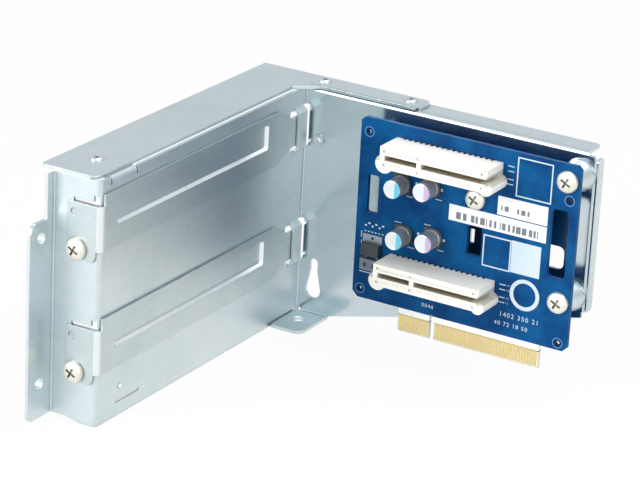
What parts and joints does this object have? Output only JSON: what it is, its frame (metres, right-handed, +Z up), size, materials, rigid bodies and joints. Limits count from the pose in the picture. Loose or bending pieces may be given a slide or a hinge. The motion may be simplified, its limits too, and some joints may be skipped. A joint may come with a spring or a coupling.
{
  "type": "riser cage bracket",
  "caption": "Folded steel bracket with blanked card slots on one wall and, on the other, a blue riser board with card sockets and a gold edge connector.",
  "frame": {"origin": "centre of the foot hole at the underside of the foot, which lies in the plane of the bracket's lower edge", "axes": "+X along the card wall away from the inner corner, +Y from the open front end towards the card wall, +Z up"},
  "size_m": [0.1304, 0.1415, 0.0827],
  "materials": {
    "zinc_steel": "bright zinc plated sheet, glossy",
    "cover_steel": "satin zinc plated sheet",
    "nickel_screw": "nickel plated, satin",
    "blue_board": "blue solder mask over glass laminate",
    "gold_contact": "gold plated contact",
    "ivory_plastic": "ivory moulded housing",
    "can_aluminium": "aluminium can",
    "black_plastic": "black moulded plastic",
    "tinned_metal": "dull tin plated",
    "grey_ferrite": "dull grey ferrite",
    "white_paper": "white printed label"
  },
  "bodies": {
    "root": {"bracket_sheet": "zinc_steel", "top_plate": "zinc_steel", "plate_rivets": "zinc_steel", "slot_cover_upper": "cover_steel", "slot_cover_lower": "cover_steel", "cover_screw_upper": "nickel_screw", "cover_screw_lower": "nickel_screw", "riser_board": "blue_board", "edge_contacts_front": "gold_contact", "edge_contacts_back": "gold_contact", "socket_body_upper": "ivory_plastic", "socket_body_lower": "ivory_plastic", "socket_contacts_upper": "gold_contact", "socket_contacts_lower": "gold_contact", "board_screw_top": "nickel_screw", "board_screw_bottom": "nickel_screw", "board_screw_middle": "nickel_screw", "capacitor_cans_upper": "can_aluminium", "capacitor_cans_lower": "can_aluminium", "capacitor_bases": "black_plastic", "regulator_body": "black_plastic", "regulator_tab": "tinned_metal", "filter_coil": "grey_ferrite", "label_upper": "white_paper", "label_lower": "white_paper"}
  },
  "joints": []
}
